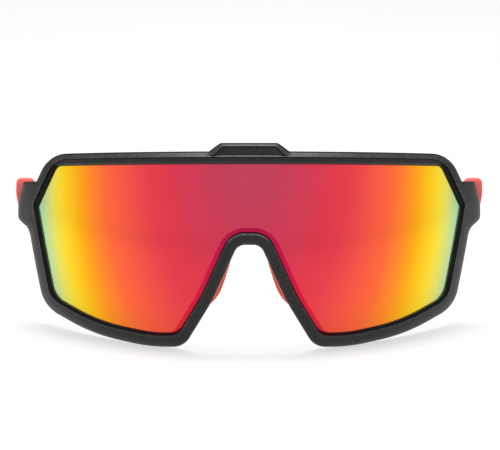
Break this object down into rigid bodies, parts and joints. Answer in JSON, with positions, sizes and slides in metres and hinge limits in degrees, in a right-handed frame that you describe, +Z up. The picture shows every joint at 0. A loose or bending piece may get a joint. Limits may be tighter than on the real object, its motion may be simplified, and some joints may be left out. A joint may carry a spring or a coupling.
{
  "type": "glacier glasses",
  "caption": "Wrap-around shield glasses: a mirrored one-piece lens in a full black rim, red folding arms with rubber tips and ribbed red nose pads.",
  "frame": {"origin": "on the surface the glasses stand on, under the middle of their bounding box", "axes": "+X to the wearer's left, across the glasses; +Y back along the arms, away from the lens; +Z up. The lens faces -Y, and the glasses stand on the low edge of the rim and the ends of the arms, so their own level is tipped back about X by 13.7 degrees."},
  "size_m": [0.1492, 0.1618, 0.0654],
  "materials": {
    "frame": "fine matte black injection-moulded nylon",
    "lens": "polycarbonate with a red to yellow mirror coat in front and a smoke tint behind",
    "panel": "smooth satin black insert",
    "pad_rubber": "soft red thermoplastic rubber, ribbed",
    "carrier": "matte black nylon",
    "hinge_metal": "stainless steel, tumbled",
    "screw_metal": "stainless steel, turned",
    "arm": "coral red satin nylon",
    "sleeve_rubber": "soft red rubber, ribbed inside"
  },
  "bodies": {
    "front": {"front_frame": "frame", "shield_lens": "lens", "brow_panel": "panel", "nose_pad_left": "pad_rubber", "nose_pad_right": "pad_rubber", "pad_carrier_left": "carrier", "pad_carrier_right": "carrier", "hinge_front_leaf_left": "hinge_metal", "hinge_front_leaf_right": "hinge_metal", "hinge_screw_left": "screw_metal", "hinge_screw_right": "screw_metal"},
    "left_arm": {"arm_left": "arm", "tip_sleeve_left": "sleeve_rubber", "hinge_rear_leaf_left": "hinge_metal"},
    "right_arm": {"arm_right": "arm", "tip_sleeve_right": "sleeve_rubber", "hinge_rear_leaf_right": "hinge_metal"}
  },
  "joints": [
    {"name": "left_fold", "type": "hinge", "parent": "front", "child": "left_arm", "pos_m": [0.06725, -0.02931, 0.03723], "axis": [0, 0.2372, 0.9715], "range_deg": [0, 90]},
    {"name": "right_fold", "type": "hinge", "parent": "front", "child": "right_arm", "pos_m": [-0.06725, -0.02931, 0.03723], "axis": [0, -0.2372, -0.9715], "range_deg": [0, 76]}
  ]
}
